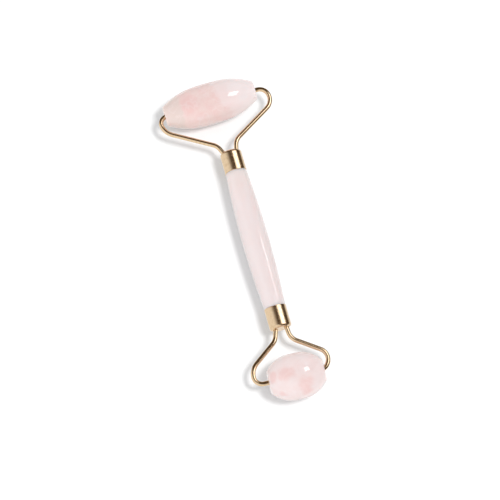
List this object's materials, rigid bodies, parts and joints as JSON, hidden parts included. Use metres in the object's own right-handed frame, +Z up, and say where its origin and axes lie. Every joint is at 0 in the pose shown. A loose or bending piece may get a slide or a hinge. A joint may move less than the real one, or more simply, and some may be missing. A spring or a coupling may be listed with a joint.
{
  "type": "face roller",
  "caption": "Hand-held facial massage roller: a slim polished stone bar with a metal ferrule, a bent-wire fork and a freely turning stone barrel at each end.",
  "frame": {"origin": "middle of the handle, on its long axis", "axes": "+Y along the handle to the large roller, +X to the right along the roller axles, +Z up, square to the plane of the two forks"},
  "size_m": [0.0507, 0.1448, 0.0194],
  "materials": {
    "handle_quartz": "polished, faintly cloudy pale pink",
    "roller_quartz": "polished, translucent pink with cloudy patches",
    "small_roller_quartz": "polished, translucent pale pink with pinker patches",
    "ferrule_metal": "pale gold plate, fine satin",
    "wire_metal": "pale gold plate, polished",
    "epoxy": "cast, clear amber",
    "sleeve_plastic": "plain off-white"
  },
  "bodies": {
    "grip": {"handle_stone": "handle_quartz", "upper_ferrule": "ferrule_metal", "lower_ferrule": "ferrule_metal", "upper_adhesive": "epoxy", "lower_adhesive": "epoxy", "upper_left_arm": "wire_metal", "upper_right_arm": "wire_metal", "lower_left_arm": "wire_metal", "lower_right_arm": "wire_metal"},
    "large_sleeves": {"large_left_bush": "sleeve_plastic", "large_right_bush": "sleeve_plastic"},
    "large_roller": {"large_roller": "roller_quartz"},
    "small_sleeves": {"small_left_bush": "sleeve_plastic", "small_right_bush": "sleeve_plastic"},
    "small_roller": {"small_roller": "small_roller_quartz"}
  },
  "joints": [
    {"name": "large_roller_float", "type": "slide", "parent": "grip", "child": "large_sleeves", "axis": [0.9994, 0.0349, 0], "range_m": [-0.001, 0.0033]},
    {"name": "large_roller_spin", "type": "hinge", "parent": "large_sleeves", "child": "large_roller", "pos_m": [-0.0027, 0.06445, 0], "axis": [0.9994, 0.0349, 0], "continuous": true},
    {"name": "small_roller_float", "type": "slide", "parent": "grip", "child": "small_sleeves", "axis": [0.9994, -0.0349, 0], "range_m": [-0.004, 0.0005]},
    {"name": "small_roller_spin", "type": "hinge", "parent": "small_sleeves", "child": "small_roller", "pos_m": [0.0007, -0.0616, 0], "axis": [0.9994, -0.0349, 0], "continuous": true}
  ]
}
